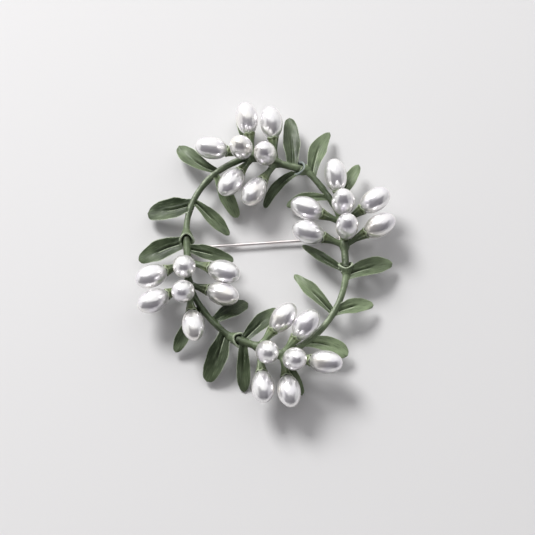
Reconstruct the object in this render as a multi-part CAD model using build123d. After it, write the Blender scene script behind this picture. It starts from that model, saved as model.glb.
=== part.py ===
from build123d import *
import os
from collections import namedtuple
from math import cos, radians, sin, sqrt

os.makedirs("parts", exist_ok=True)

# A wreath brooch lying on its back: four cast sprigs joined end to end in an oval ring,
# twenty-eight rice pearls in their calyx cups, and a hinged pin across the back.
# Millimetres. +Z is the front of the brooch, +Y its top, and it lies on the plane z = 0.

# Ring, its middle set so that the whole brooch is centred on x = 0, y = 0
ring_middle_x = 0.45
ring_middle_y = 0.29
ring_half_width = 14.5
ring_half_height = 17.3
stem_height = 4.2
stem_dia = 1.2
rod_dia = 1.3

# Collar that takes the next sprig's rod
collar_dia = 2.2
collar_length = 1.5
collar_bore_depth = 0.9
socket_gap = 0.05

# Cluster of seven pearls
rod_length = 4.5
node_pitch = 4.2
end_offset = 1.6
knuckle_dia = 1.9
knuckle_length = 2.4
pearl_reach = 7.0

# Rice pearl, half drilled
pearl_length = 6.0
pearl_dia = 4.0
pearl_hole_dia = 1.0
pearl_hole_depth = 3.0

# Calyx cup and the stalk under it
seat_gap = 0.04
cup_cover = 0.28
cup_wall = 0.22
cup_length = 2.4
cup_waist_dia = 1.35
cup_waist_height = 1.3
stalk_dia = 1.05
peg_dia = 0.9
peg_length = 2.4

# Leaf
leaf_length = 8.4
leaf_width = 2.6
leaf_thickness = 0.6
leaf_edge = 0.28

# Pin, its hinge base and its catch
pin_height = 1.0
pin_dia = 0.56
pin_reach = 29.0
pin_point_length = 7.5
pin_point_dia = 0.16
pin_neck_length = 2.2
pin_bearing = 4.0
eye_dia = 1.5
eye_thickness = 0.7
rivet_dia = 0.8
rivet_head_dia = 1.2
rivet_head_height = 0.25
rivet_gap = 0.04
cheek_gap = 0.1
cheek_thickness = 0.5
cheek_dia = 1.6
saddle_width = 1.6
saddle_length = 2.6
saddle_wall = 0.45
saddle_rise = 0.2
saddle_gap = 0.05
catch_width = 1.4
catch_bore_dia = 1.2
catch_wall = 0.4
catch_mouth = 0.8
catch_setback = 1.25

# A collar stands where two sprigs join: its place in half widths and half heights of the
# ring, and the bearing in degrees of the rod that leaves it.
Joint = namedtuple("Joint", "x y bearing")
JOINTS = {
    "top": Joint(0.41, 0.91, 165),
    "left": Joint(-1.00, 0.165, -87),
    "bottom": Joint(-0.39, -0.913, -20),
    "right": Joint(0.937, -0.159, 93),
}
NEXT_SPRIG = {"top": "left", "left": "bottom", "bottom": "right", "right": "top"}

# A sprig's rod and node lengths are shares of rod_length and node_pitch. Its bow is how
# far the stem stands out from its chord, as a share of the chord.
Sprig = namedtuple("Sprig", "rod pitch bow")
SPRIGS = {
    "top": Sprig(1.08, 1.0, 0.185),
    "left": Sprig(1.00, 1.0, 0.075),
    "bottom": Sprig(0.95, 1.0, 0.148),
    "right": Sprig(0.93, 1.0, 0.05),
}

# A pearl grows from a node: 0 is the first along the rod, 1 the second, 2 the rod's end.
# Its stalk leaves at a bearing from the rod's own, and at a rise, in degrees. Its reach,
# from the node to the pearl's middle, is a share of pearl_reach. The pearl itself stands
# steeper than its stalk by its lift.
Pearl = namedtuple("Pearl", "number node bearing rise reach lift")
PEARLS = {
    "top": [
        Pearl(1, 1, -66, 12, 1.01, 0),
        Pearl(2, 0, -69, 12, 1.04, 0),
        Pearl(3, 2, 9, 16, 0.87, 0),
        Pearl(4, 1, 11, 65, 0.69, 13),
        Pearl(5, 0, 13, 67, 0.68, 13),
        Pearl(6, 1, 69, 12, 0.965, 0),
        Pearl(7, 0, 73, 12, 1.045, 0),
    ],
    "left": [
        Pearl(1, 1, -63, 12, 1.02, 0),
        Pearl(2, 0, -66, 12, 1.02, 0),
        Pearl(3, 2, 5, 16, 0.965, 0),
        Pearl(4, 1, -19, 58, 0.74, 14),
        Pearl(5, 0, -12, 62, 0.715, 14),
        Pearl(6, 1, 67, 11, 0.93, 0),
        Pearl(7, 0, 67, 13, 1.005, 0),
    ],
    "bottom": [
        Pearl(1, 1, -60, 12, 1.01, 0),
        Pearl(2, 0, -65, 12, 1.10, 0),
        Pearl(3, 2, 9, 16, 0.91, 0),
        Pearl(4, 1, -22, 57, 0.75, 14),
        Pearl(5, 0, -37, 60, 0.725, 14),
        Pearl(6, 1, 70, 17, 0.96, 0),
        Pearl(7, 0, 70, 12, 0.945, 0),
    ],
    "right": [
        Pearl(1, 1, -60, 12, 0.99, 0),
        Pearl(2, 0, -66, 12, 1.02, 0),
        Pearl(3, 2, 7, 16, 1.00, 0),
        Pearl(4, 1, -1, 62, 0.71, 13),
        Pearl(5, 0, -12, 65, 0.69, 13),
        Pearl(6, 1, 68, 12, 0.99, 0),
        Pearl(7, 0, 70, 12, 0.97, 0),
    ],
}

# A leaf grows from its sprig's rod, from its stem or from the side of the collar at the
# stem's end, at a share of that piece's length. Its compass bearing, rise, bend and droop
# are in degrees: bend turns it to the left along its length and droop turns it down. Its
# length and width are shares of leaf_length and leaf_width, its heel is how much wider
# than usual its root is, and roll tips it about its midrib, left edge up.
Leaf = namedtuple("Leaf", "on along bearing rise length width heel bend droop roll")
LEAVES = {
    "top": [
        Leaf("rod", 0.36, 93, -2, 1.15, 0.92, 1.0, 6, 8, 0),
        Leaf("rod", 1.90, 104, -12, 1.20, 0.95, 1.0, 0, 14, 0),
        Leaf("stem", 0.34, 141, -4, 1.06, 1.12, 1.0, -10, 14, 0),
        Leaf("stem", 0.37, -61, -12, 1.06, 0.92, 1.0, 10, 14, 8),
        Leaf("stem", 0.73, -173, -8, 1.00, 1.45, 1.2, -18, 14, 10),
        Leaf("stem", 0.69, -43, -2, 1.06, 1.05, 1.0, 0, 12, 0),
        Leaf("collar", 1.15, -161, -6, 1.00, 1.25, 2.2, 10, 12, 0),
    ],
    "left": [
        Leaf("rod", 0.44, -14, 0, 1.02, 0.85, 1.9, 0, 12, 0),
        Leaf("stem", 0.36, -120, -8, 1.10, 1.00, 1.0, 0, 16, 0),
        Leaf("stem", 0.65, 33, -8, 0.88, 1.05, 1.0, -14, 12, 0),
        Leaf("stem", 0.88, -112, -10, 1.10, 1.30, 1.0, -14, 16, 0),
    ],
    "bottom": [
        Leaf("rod", 0.30, -89, -16, 1.08, 0.88, 1.0, 0, 19, 0),
        Leaf("rod", 0.28, 45, -2, 1.06, 0.95, 1.0, -10, 10, 0),
        Leaf("rod", 1.90, -60, -10, 0.97, 0.95, 1.0, 0, 14, 0),
        Leaf("stem", 0.22, -13, -6, 0.98, 1.15, 1.0, -50, 12, 0),
        Leaf("stem", 0.60, 133, 2, 1.20, 0.92, 1.0, 0, 12, 0),
        Leaf("stem", 0.60, 16, -6, 0.92, 1.08, 1.0, -22, 14, 0),
        Leaf("stem", 1.00, 145, 0, 1.13, 0.78, 1.0, -10, 14, 0),
        Leaf("stem", 0.96, 19, -4, 1.08, 1.35, 1.0, -12, 12, 0),
    ],
    "right": [
        Leaf("stem", 0.28, 62, -3, 1.14, 1.05, 1.0, 0, 6, 0),
        Leaf("stem", 0.42, -175, -10, 0.98, 0.95, 1.0, 40, 10, 0),
        Leaf("stem", 0.87, 68, -4, 1.14, 1.25, 1.0, -10, 14, 0),
        Leaf("stem", 1.00, -139, -8, 1.25, 0.85, 1.0, 60, 10, 0),
    ],
}

# A leaf's section at a share of its length: half its width, how deep its trough lies and
# how thick its midrib is, as shares of its width, its width and leaf_thickness.
Station = namedtuple("Station", "along half trough rib")
STATIONS = [
    Station(0.00, 0.17, 0.02, 0.86),
    Station(0.22, 0.30, 0.08, 0.95),
    Station(0.50, 0.48, 0.14, 0.95),
    Station(0.78, 0.46, 0.12, 0.80),
    Station(0.93, 0.30, 0.06, 0.70),
    Station(1.00, 0.10, 0.01, 0.60),
]


def toward(bearing, rise=0.0):
    """The unit vector at a compass bearing and a rise, in degrees."""
    flat = cos(radians(rise))
    return Vector(flat * cos(radians(bearing)), flat * sin(radians(bearing)), sin(radians(rise)))


def rod_between(start, end, dia):
    """A round rod from one point to another."""
    span = end - start
    return Plane(origin=start, z_dir=span) * Cylinder(
        dia / 2, span.length, align=(Align.CENTER, Align.CENTER, Align.MIN)
    )


def lathe(start, axis, profile):
    """A turned solid: the profile gives distances along the axis and the diameters there."""
    ends = [(0, profile[0][0])] + [(dia / 2, distance) for distance, dia in profile] + [(0, profile[-1][0])]
    return Plane(origin=start, z_dir=axis) * revolve(Plane.XZ * Polygon(*ends, align=None), Axis.Z)


def joint_point(name):
    """The middle of the collar that a sprig's rod starts from."""
    joint = JOINTS[name]
    x = ring_middle_x + joint.x * ring_half_width
    y = ring_middle_y + joint.y * ring_half_height
    return Vector(x, y, stem_height)


def node_point(name, node):
    """A node of the sprig's rod, where pearls grow."""
    steps = (0.0, node_pitch, node_pitch + end_offset)
    distance = SPRIGS[name].rod * rod_length + SPRIGS[name].pitch * steps[node]
    return joint_point(name) + toward(JOINTS[name].bearing) * distance


def stem_arc(name):
    """The centre line of the stem, from the sprig's second node to the next collar."""
    start = node_point(name, 1)
    after = NEXT_SPRIG[name]
    end = joint_point(after) - toward(JOINTS[after].bearing) * (collar_length / 2)
    chord = end - start
    outward = chord.cross(Vector(0, 0, 1)).normalized()
    middle = (start + end) * 0.5 + outward * (chord.length * SPRIGS[name].bow)
    return ThreePointArc(start, middle, end)


def stem(name):
    """The bowed stem, a round wire."""
    arc = stem_arc(name)
    section = Plane(origin=arc @ 0, z_dir=arc % 0) * Circle(stem_dia / 2)
    return sweep(section, path=arc)


def collar(name):
    """The collar that a sprig's rod plugs into, made in one with the sprig before it."""
    axis = toward(JOINTS[name].bearing)
    back = joint_point(name) - axis * (collar_length / 2)
    profile = [(-collar_dia / 2, stem_dia / 2), (0, collar_dia), (collar_length, collar_dia)]
    return lathe(back, axis, profile)


def bore(name):
    """The space kept free for a sprig's rod, in the collar and just outside it."""
    axis = toward(JOINTS[name].bearing)
    floor = joint_point(name) + axis * (collar_length / 2 - collar_bore_depth)
    return rod_between(floor, floor + axis * (2 * collar_length), rod_dia + 2 * socket_gap)


def rod(name):
    """The straight rod with its knuckles, from its plug in the collar to its end."""
    axis = toward(JOINTS[name].bearing)
    start = joint_point(name)
    profile = [(collar_length / 2 - collar_bore_depth + socket_gap, rod_dia)]
    for node in (0, 1):
        middle = (node_point(name, node) - start).length
        profile += [
            (middle - knuckle_length / 2, rod_dia),
            (middle - knuckle_length / 4, knuckle_dia),
            (middle + knuckle_length / 4, knuckle_dia),
            (middle + knuckle_length / 2, rod_dia),
        ]
    profile.append(((node_point(name, 2) - start).length, rod_dia))
    return lathe(start, axis, profile)


def pearl_plane(name, pearl):
    """The pearl's middle, with Z along its axis, away from its stalk."""
    bearing = JOINTS[name].bearing + pearl.bearing
    middle = node_point(name, pearl.node) + toward(bearing, pearl.rise) * (pearl.reach * pearl_reach)
    return Plane(origin=middle, z_dir=toward(bearing, pearl.rise + pearl.lift))


def half_oval(width, length):
    """The half ellipse to the right of Y, whose turn about Y is an oval."""
    return Ellipse(width / 2, length / 2) - Pos(-width) * Rectangle(2 * width, 2 * length)


def upright_box(width, low, high):
    """A rectangle from the axis to half a width, between two heights."""
    return Pos(width / 4, (low + high) / 2) * Rectangle(width / 2, high - low)


def pearl_solid():
    """A rice pearl with its blind hole, middle at the origin."""
    floor = pearl_hole_depth - pearl_length / 2
    outline = half_oval(pearl_dia, pearl_length) - upright_box(pearl_hole_dia, -pearl_length, floor)
    return revolve(Plane.XZ * outline, Axis.Z)


def cup_rim_height():
    """The rim's place along the pearl's axis, from the pearl's middle."""
    return cup_cover - pearl_length / 2


def cup_root_height():
    """The place where the cup meets its stalk."""
    return cup_rim_height() - cup_length


def cup_solid():
    """A trumpet-shaped calyx cup with the peg that the pearl is glued to."""
    rim = cup_rim_height()
    root = cup_root_height()
    seat = pearl_dia / 2 * sqrt(1 - (2 * rim / pearl_length) ** 2) + seat_gap
    trumpet = make_face(
        [
            Line((0, root), (stalk_dia / 2, root)),
            Bezier(
                (stalk_dia / 2, root),
                (cup_waist_dia / 2, root + cup_waist_height),
                (seat + cup_wall, rim),
            ),
            Line((seat + cup_wall, rim), (0, rim)),
            Line((0, rim), (0, root)),
        ]
    )
    hollow = half_oval(pearl_dia + 2 * seat_gap, pearl_length + 2 * seat_gap)
    peg = upright_box(peg_dia, root, peg_length - pearl_length / 2)
    return revolve(Plane.XZ * (trumpet - hollow + peg), Axis.Z)


def stalk(name, pearl):
    """The stalk, from its node to a little way inside the root of the cup."""
    node = node_point(name, pearl.node)
    inside = Vector(0, 0, cup_root_height() + stalk_dia / 2)
    return rod_between(node, pearl_plane(name, pearl).from_local_coords(inside), stalk_dia + cup_wall / 2)


def leaf_section(point, bearing, rise, leaf, station):
    """One section across a leaf: a shallow trough with a thicker midrib."""
    tangent = toward(bearing, rise)
    side = toward(bearing + 90).rotate(Axis((0, 0, 0), tangent), leaf.roll)
    width = leaf.width * leaf_width
    half = station.half * width * (1 + (leaf.heel - 1) * (1 - station.along) ** 2)
    lift = station.trough * width
    corners = [
        (-half, lift),
        (0, 0),
        (half, lift),
        (half, lift - leaf_edge),
        (0, -station.rib * leaf_thickness),
        (-half, lift - leaf_edge),
    ]
    return Plane(origin=point, x_dir=side, z_dir=tangent) * Polygon(*corners, align=None)


def leaf_solid(root, leaf):
    """A leaf, lofted through its sections along its bent and drooping midrib."""
    length = leaf.length * leaf_length
    sections = []
    point = root
    reached = 0.0
    for station in STATIONS:
        middle = (reached + station.along) / 2
        bearing = leaf.bearing + leaf.bend * (middle - 0.5)
        step = (station.along - reached) * length
        point = point + toward(bearing, leaf.rise - leaf.droop * middle) * step
        reached = station.along
        bearing = leaf.bearing + leaf.bend * (reached - 0.5)
        rise = leaf.rise - leaf.droop * reached
        sections.append(leaf_section(point, bearing, rise, leaf, station))
    return loft(sections)


def leaf_root(name, leaf):
    """Where a leaf leaves the rod, the stem or the side of the collar."""
    if leaf.on == "stem":
        return stem_arc(name) @ leaf.along
    if leaf.on == "collar":
        after = NEXT_SPRIG[name]
        axis = toward(JOINTS[after].bearing)
        aside = toward(leaf.bearing) - axis * toward(leaf.bearing).dot(axis)
        on_axis = joint_point(after) + axis * ((leaf.along - 0.5) * collar_length)
        return on_axis + aside.normalized() * ((collar_dia + rod_dia) / 4)
    distance = leaf.along * SPRIGS[name].rod * rod_length
    return joint_point(name) + toward(JOINTS[name].bearing) * distance


def sprig(name):
    """A whole casting: rod, stem, the next sprig's collar, stalks, cups and leaves."""
    casting = stem(name) + rod(name) + collar(NEXT_SPRIG[name])
    for pearl in PEARLS[name]:
        casting += stalk(name, pearl)
        casting += pearl_plane(name, pearl) * cup_solid()
    for leaf in LEAVES[name]:
        casting += leaf_solid(leaf_root(name, leaf), leaf)
    return casting - bore(NEXT_SPRIG[name])


def pin_plane():
    """The hinge axis of the pin: X along the pin, Z up."""
    joint = joint_point("left")
    start = joint + toward(JOINTS["left"].bearing) * (collar_length / 2 + 0.2)
    origin = Vector(start.X, start.Y, pin_height)
    return Plane(origin=origin, x_dir=toward(pin_bearing), z_dir=(0, 0, 1))


def disc(dia, width, x=0.0, y=0.0, z=0.0):
    """A disc whose axis is the hinge axis, Y of the pin's plane."""
    return Pos(x, y, z) * Rot(90, 0, 0) * Cylinder(dia / 2, width)


def pin_stem():
    """The pin: a flat eye, a tapered neck, the straight wire and its point."""
    eye = disc(eye_dia, eye_thickness)
    neck_start = rivet_dia / 2 + 0.15
    wire_end = pin_reach - pin_point_length
    outline = [
        (neck_start, 0),
        (neck_start, eye_thickness / 2),
        (pin_neck_length, pin_dia / 2),
        (wire_end, pin_dia / 2),
        (pin_reach, pin_point_dia / 2),
        (pin_reach, 0),
    ]
    wire = revolve(Plane.XY * Polygon(*outline, align=None), Axis.X)
    hole = disc(rivet_dia + 2 * rivet_gap, 2 * eye_thickness)
    return eye + wire - hole


def cheek_offset():
    """From the middle of the eye to the middle of a cheek."""
    return eye_thickness / 2 + cheek_gap + cheek_thickness / 2


def saddle_level(dia):
    """The lowest line of a round thing at the stem's height, from the hinge axis."""
    return stem_height - pin_height - dia / 2


def pin_base(seat):
    """The hinge base: a saddle under the collar and two cheeks that hold the rivet."""
    width = 2 * cheek_offset() + cheek_thickness
    top = saddle_level(collar_dia) + saddle_rise
    floor = saddle_level(collar_dia) - saddle_wall
    saddle = Pos(0, 0, (top + floor) / 2) * Box(saddle_width, width, top - floor)
    cheeks = Part()
    for side in (-1, 1):
        y = side * cheek_offset()
        web = Pos(0, y, floor / 2) * Box(cheek_dia, cheek_thickness, floor + saddle_wall)
        cheeks += disc(cheek_dia, cheek_thickness, y=y) + web
    holes = disc(rivet_dia + 2 * rivet_gap, 2 * width)
    return saddle + cheeks - holes - seat


def pin_rivet():
    """The rivet, with a head outside each cheek."""
    outside = cheek_offset() + cheek_thickness / 2 + rivet_gap
    rivet = disc(rivet_dia, 2 * outside)
    for side in (-1, 1):
        rivet += disc(rivet_head_dia, rivet_head_height, y=side * (outside + rivet_head_height / 2))
    return rivet


def pin_catch(seat):
    """The catch: a hook open towards the swing of the pin, on a foot under the rod."""
    x = pin_reach - catch_setback
    outer = catch_bore_dia + 2 * catch_wall
    ring = Pos(x) * Rot(0, 90, 0) * (
        Cylinder(outer / 2, catch_width) - Cylinder(catch_bore_dia / 2, 2 * catch_width)
    )
    mouth = Pos(x, 0, -outer / 2) * Box(2 * catch_width, catch_mouth, outer)
    top = saddle_level(knuckle_dia) + saddle_rise
    floor = saddle_level(knuckle_dia) - saddle_wall
    low = outer / 2 - catch_wall / 2
    high = floor + saddle_wall / 2
    post = Pos(x, 0, (high + low) / 2) * Box(catch_width, catch_wall * 2, high - low)
    foot = Pos(x, 0, (top + floor) / 2) * Box(saddle_width, saddle_length, top - floor)
    return ring - mouth + post + foot - seat


def seat_cutter(name, dia):
    """The space that a rod needs in what is seated under it."""
    axis = toward(JOINTS[name].bearing)
    start = joint_point(name) - axis * collar_length
    return rod_between(start, node_point(name, 2) + axis, dia + 2 * saddle_gap)


pieces = {}
for sprig_name in SPRIGS:
    pieces[f"sprig_{sprig_name}"] = sprig(sprig_name)
    for row in PEARLS[sprig_name]:
        pieces[f"pearl_{sprig_name}_{row.number}"] = pearl_plane(sprig_name, row) * pearl_solid()

hinge = pin_plane()
left_seat = hinge.to_local_coords(seat_cutter("left", collar_dia))
right_seat = hinge.to_local_coords(seat_cutter("right", knuckle_dia))
pieces["pin_stem"] = hinge * pin_stem()
pieces["pin_base"] = hinge * pin_base(left_seat)
pieces["pin_rivet"] = hinge * pin_rivet()
pieces["pin_catch"] = hinge * pin_catch(right_seat)

for node, shape in pieces.items():
    shape.label = node
    export_step(shape, f"parts/{node}.step")
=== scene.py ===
from collections import namedtuple

import bpy
import numpy as np
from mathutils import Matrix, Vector
from mathutils.kdtree import KDTree


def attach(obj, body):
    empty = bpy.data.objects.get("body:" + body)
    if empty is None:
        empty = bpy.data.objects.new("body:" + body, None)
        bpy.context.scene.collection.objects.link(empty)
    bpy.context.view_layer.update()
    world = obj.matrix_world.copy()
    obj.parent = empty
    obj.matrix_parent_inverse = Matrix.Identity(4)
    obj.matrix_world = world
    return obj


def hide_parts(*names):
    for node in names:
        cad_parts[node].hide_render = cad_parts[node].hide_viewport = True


# Looks for the wreath brooch: four painted castings, twenty-eight pearls and the pin.
# Lengths are millimetres until a mesh is placed, in metres.

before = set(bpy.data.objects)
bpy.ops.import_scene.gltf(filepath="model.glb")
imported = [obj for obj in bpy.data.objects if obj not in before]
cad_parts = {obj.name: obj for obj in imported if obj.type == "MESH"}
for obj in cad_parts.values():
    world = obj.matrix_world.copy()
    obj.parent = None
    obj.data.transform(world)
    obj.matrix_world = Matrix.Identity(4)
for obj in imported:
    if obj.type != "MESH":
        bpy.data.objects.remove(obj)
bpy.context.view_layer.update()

MM = 0.001
UP = np.array([0.0, 0.0, 1.0])
LIGHT_BEARING = 126

# The driving sizes of the CAD part, repeated
ring_middle = np.array([0.45, 0.29])
ring_half_width = 14.5
ring_half_height = 17.3
stem_height = 4.2
stem_dia = 1.2
rod_dia = 1.3
collar_dia = 2.2
collar_length = 1.5
collar_bore_depth = 0.9
socket_gap = 0.05
rod_length = 4.5
node_pitch = 4.2
end_offset = 1.6
knuckle_dia = 1.9
knuckle_length = 2.4
pearl_reach = 7.0
pearl_length = 6.0
pearl_dia = 4.0
pearl_hole_dia = 1.0
pearl_hole_depth = 3.0
seat_gap = 0.04
cup_cover = 0.28
cup_wall = 0.22
cup_length = 2.4
cup_waist_dia = 1.35
cup_waist_height = 1.3
stalk_dia = 1.05
leaf_length = 8.4
leaf_width = 2.6
leaf_thickness = 0.6
leaf_edge = 0.28
pin_height = 1.0
pin_dia = 0.56
pin_reach = 29.0
pin_point_length = 7.5
pin_neck_length = 2.2
pin_bearing = 4.0
eye_dia = 1.5
eye_thickness = 0.7
rivet_dia = 0.8
rivet_gap = 0.04

# Small forms that only the looks have
stem_waver = 0.03
stem_fine_waver = 0.02
stem_root_swell = 0.16
stem_end_swell = 0.08
rod_overrun = 0.2
rod_end_taper = 0.35
rod_end_length = 0.25
stalk_spare = 0.03
stalk_flare = 0.22
collar_cut_back = 0.8
collar_cut_bow = 0.35
collar_oval = 0.12
collar_spare = 0.11
cup_lip_bulge = 0.03
cup_groove_depth = 0.04
cup_groove_drop = 0.42
cup_groove_width = 0.10
cup_ribs = 7
cup_rib_share = 0.075
cup_lobes = 5
cup_lobe_height = 0.10
leaf_groove_depth = 0.30
leaf_groove_half_width = 0.26
leaf_lip_height = 0.09
leaf_lip_place = 0.34
leaf_lip_width = 0.14

# How fine the tubes are before they are fused, and how fine their one skin is
STEM_ROWS = 70
ROD_ROWS = 80
ROD_SIDES = 24
STALK_ROWS = 14
STALK_SIDES = 20
COLLAR_SIDES = 48
CUP_ROWS = 30
CUP_HOLLOW_ROWS = 7
CUP_SIDES = 66
LEAF_ROWS = 50
LEAF_COLUMNS = 37
PEARL_ROWS = 44
PEARL_SIDES = 56
VOXEL = 0.08
SOFTEN_ROUNDS = 4
KEPT_SHARE = 0.65

# A collar stands where two sprigs join: its place in half widths and half heights of the
# ring, and the bearing in degrees of the rod that leaves it.
Joint = namedtuple("Joint", "x y bearing")
JOINTS = {
    "top": Joint(0.41, 0.91, 165),
    "left": Joint(-1.00, 0.165, -87),
    "bottom": Joint(-0.39, -0.913, -20),
    "right": Joint(0.937, -0.159, 93),
}
NEXT_SPRIG = {"top": "left", "left": "bottom", "bottom": "right", "right": "top"}

# The collar whose mouth has lost its paint
BARE_COLLAR = "top"

# A sprig's rod and node lengths are shares of rod_length and node_pitch. Its bow is how
# far the stem stands out from its chord, as a share of the chord. Its tone is how pale its
# paint is, and it also stands in for how much light falls on the sprig.
Sprig = namedtuple("Sprig", "rod pitch bow tone")
SPRIGS = {
    "top": Sprig(1.08, 1.0, 0.185, 0.4),
    "left": Sprig(1.00, 1.0, 0.075, 0.25),
    "bottom": Sprig(0.95, 1.0, 0.148, 0.75),
    "right": Sprig(0.93, 1.0, 0.05, 0.3),
}
# The tones of cups, rods and collars, which also stand in for how much light falls on them
CUP_TONE = 0.25
ROD_TONE = 0.45
COLLAR_TONE = 0.7

# How far the grain of the paint shifts from one side of a tube to the next
ROD_GRAIN = 0.17
STALK_GRAIN = 0.2

# A pearl grows from a node: 0 is the first along the rod, 1 the second, 2 the rod's end.
# Its stalk leaves at a bearing from the rod's own, and at a rise, in degrees. Its reach,
# from the node to the pearl's middle, is a share of pearl_reach. The pearl itself stands
# steeper than its stalk by its lift.
Pearl = namedtuple("Pearl", "number node bearing rise reach lift")
PEARLS = {
    "top": [
        Pearl(1, 1, -66, 12, 1.01, 0),
        Pearl(2, 0, -69, 12, 1.04, 0),
        Pearl(3, 2, 9, 16, 0.87, 0),
        Pearl(4, 1, 11, 65, 0.69, 13),
        Pearl(5, 0, 13, 67, 0.68, 13),
        Pearl(6, 1, 69, 12, 0.965, 0),
        Pearl(7, 0, 73, 12, 1.045, 0),
    ],
    "left": [
        Pearl(1, 1, -63, 12, 1.02, 0),
        Pearl(2, 0, -66, 12, 1.02, 0),
        Pearl(3, 2, 5, 16, 0.965, 0),
        Pearl(4, 1, -19, 58, 0.74, 14),
        Pearl(5, 0, -12, 62, 0.715, 14),
        Pearl(6, 1, 67, 11, 0.93, 0),
        Pearl(7, 0, 67, 13, 1.005, 0),
    ],
    "bottom": [
        Pearl(1, 1, -60, 12, 1.01, 0),
        Pearl(2, 0, -65, 12, 1.10, 0),
        Pearl(3, 2, 9, 16, 0.91, 0),
        Pearl(4, 1, -22, 57, 0.75, 14),
        Pearl(5, 0, -37, 60, 0.725, 14),
        Pearl(6, 1, 70, 17, 0.96, 0),
        Pearl(7, 0, 70, 12, 0.945, 0),
    ],
    "right": [
        Pearl(1, 1, -60, 12, 0.99, 0),
        Pearl(2, 0, -66, 12, 1.02, 0),
        Pearl(3, 2, 7, 16, 1.00, 0),
        Pearl(4, 1, -1, 62, 0.71, 13),
        Pearl(5, 0, -12, 65, 0.69, 13),
        Pearl(6, 1, 68, 12, 0.99, 0),
        Pearl(7, 0, 70, 12, 0.97, 0),
    ],
}

# A leaf grows from its sprig's rod, from its stem or from the side of the collar at the
# stem's end, at a share of that piece's length. Its compass bearing, rise, bend and droop
# are in degrees: bend turns it to the left along its length and droop turns it down. Its
# length and width are shares of leaf_length and leaf_width, its heel is how much wider
# than usual its root is, and roll tips it about its midrib, left edge up. The last three
# are how deep the groove along its midrib is, how pointed its tip and how pale its paint,
# a tone that also stands in for how much light falls on the leaf.
Leaf = namedtuple("Leaf", "on along bearing rise length width heel bend droop roll groove point tone")
LEAVES = {
    "top": [
        Leaf("rod", 0.36, 93, -2, 1.19, 1.02, 2.0, 6, 8, 0, 0.5, 0.0, 0.15),
        Leaf("rod", 1.90, 104, -12, 1.20, 0.95, 1.0, 0, 14, 0, 0.3, 0.3, 0.1),
        Leaf("stem", 0.34, 141, -4, 1.14, 1.18, 1.0, -45, 14, 0, 0.8, 0.0, 0.28),
        Leaf("stem", 0.37, -61, -12, 1.06, 1.12, 1.0, 10, 14, 4, 0.2, 0.4, 0.9),
        Leaf("stem", 0.73, -174, -8, 1.00, 1.35, 2.0, -16, 14, 4, 1.0, 0.0, 0.05),
        Leaf("stem", 0.69, -43, -2, 1.06, 1.18, 1.0, 0, 12, 0, 0.9, 0.9, 0.4),
        Leaf("collar", 1.15, -161, -6, 1.00, 1.20, 2.3, 4, 12, 0, 1.0, 0.2, 0.0),
    ],
    "left": [
        Leaf("rod", 0.44, -14, 0, 1.02, 0.92, 1.9, 0, 12, 0, 1.0, 0.2, 0.0),
        Leaf("stem", 0.36, -120, -8, 1.10, 1.00, 1.0, 0, 16, 0, 0.4, 0.2, 0.0),
        Leaf("stem", 0.65, 33, -8, 0.90, 1.05, 1.5, -14, 12, 0, 0.5, 0.0, 0.0),
        Leaf("stem", 0.88, -112, -10, 1.10, 1.24, 1.9, -14, 16, 0, 0.8, 0.0, 0.0),
    ],
    "bottom": [
        Leaf("rod", 0.30, -89, -16, 1.08, 0.88, 1.6, 0, 19, 0, 0.5, 0.0, 0.1),
        Leaf("rod", 0.28, 45, -2, 1.06, 1.08, 1.5, -10, 10, 0, 0.9, 0.3, 0.0),
        Leaf("rod", 1.90, -60, -10, 0.97, 0.95, 1.0, 0, 14, 0, 0.4, 0.3, 0.45),
        Leaf("stem", 0.22, -13, -6, 0.98, 1.15, 1.3, -50, 12, 0, 1.0, 0.0, 1.3),
        Leaf("stem", 0.60, 133, 2, 1.20, 1.06, 1.3, 0, 12, 0, 1.0, 0.8, 0.5),
        Leaf("stem", 0.60, 16, -6, 0.92, 1.08, 1.5, -22, 14, 0, 0.9, 0.5, 0.7),
        Leaf("stem", 1.00, 145, 0, 1.13, 0.78, 1.3, -10, 14, 0, 0.6, 0.8, 0.1),
        Leaf("stem", 0.96, 19, -4, 1.08, 1.20, 1.7, -16, 12, 0, 1.0, 0.3, 0.5),
    ],
    "right": [
        Leaf("stem", 0.28, 62, -3, 1.14, 1.05, 1.0, 0, 6, 0, 0.9, 0.6, 0.52),
        Leaf("stem", 0.42, -175, -10, 0.98, 0.95, 1.0, 40, 10, 0, 0.4, 0.5, 0.3),
        Leaf("stem", 0.87, 70, -4, 1.21, 1.24, 1.6, -32, 14, 0, 1.0, 0.9, 0.45),
        Leaf("stem", 1.00, -139, -8, 1.25, 0.85, 1.0, 60, 10, 0, 0.6, 0.5, 0.1),
    ],
}

# A leaf's section at a share of its length: half its width, how deep its trough lies and
# how thick its midrib is, as shares of its width, its width and leaf_thickness.
Station = namedtuple("Station", "along half trough rib")
STATIONS = [
    Station(0.00, 0.17, 0.05, 0.90),
    Station(0.10, 0.22, 0.13, 0.95),
    Station(0.22, 0.30, 0.20, 0.95),
    Station(0.36, 0.40, 0.23, 0.93),
    Station(0.50, 0.47, 0.21, 0.90),
    Station(0.64, 0.50, 0.17, 0.85),
    Station(0.78, 0.47, 0.12, 0.75),
    Station(0.88, 0.40, 0.07, 0.66),
    Station(0.94, 0.32, 0.04, 0.60),
    Station(0.98, 0.20, 0.01, 0.50),
    Station(1.00, 0.05, 0.00, 0.40),
]
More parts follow.
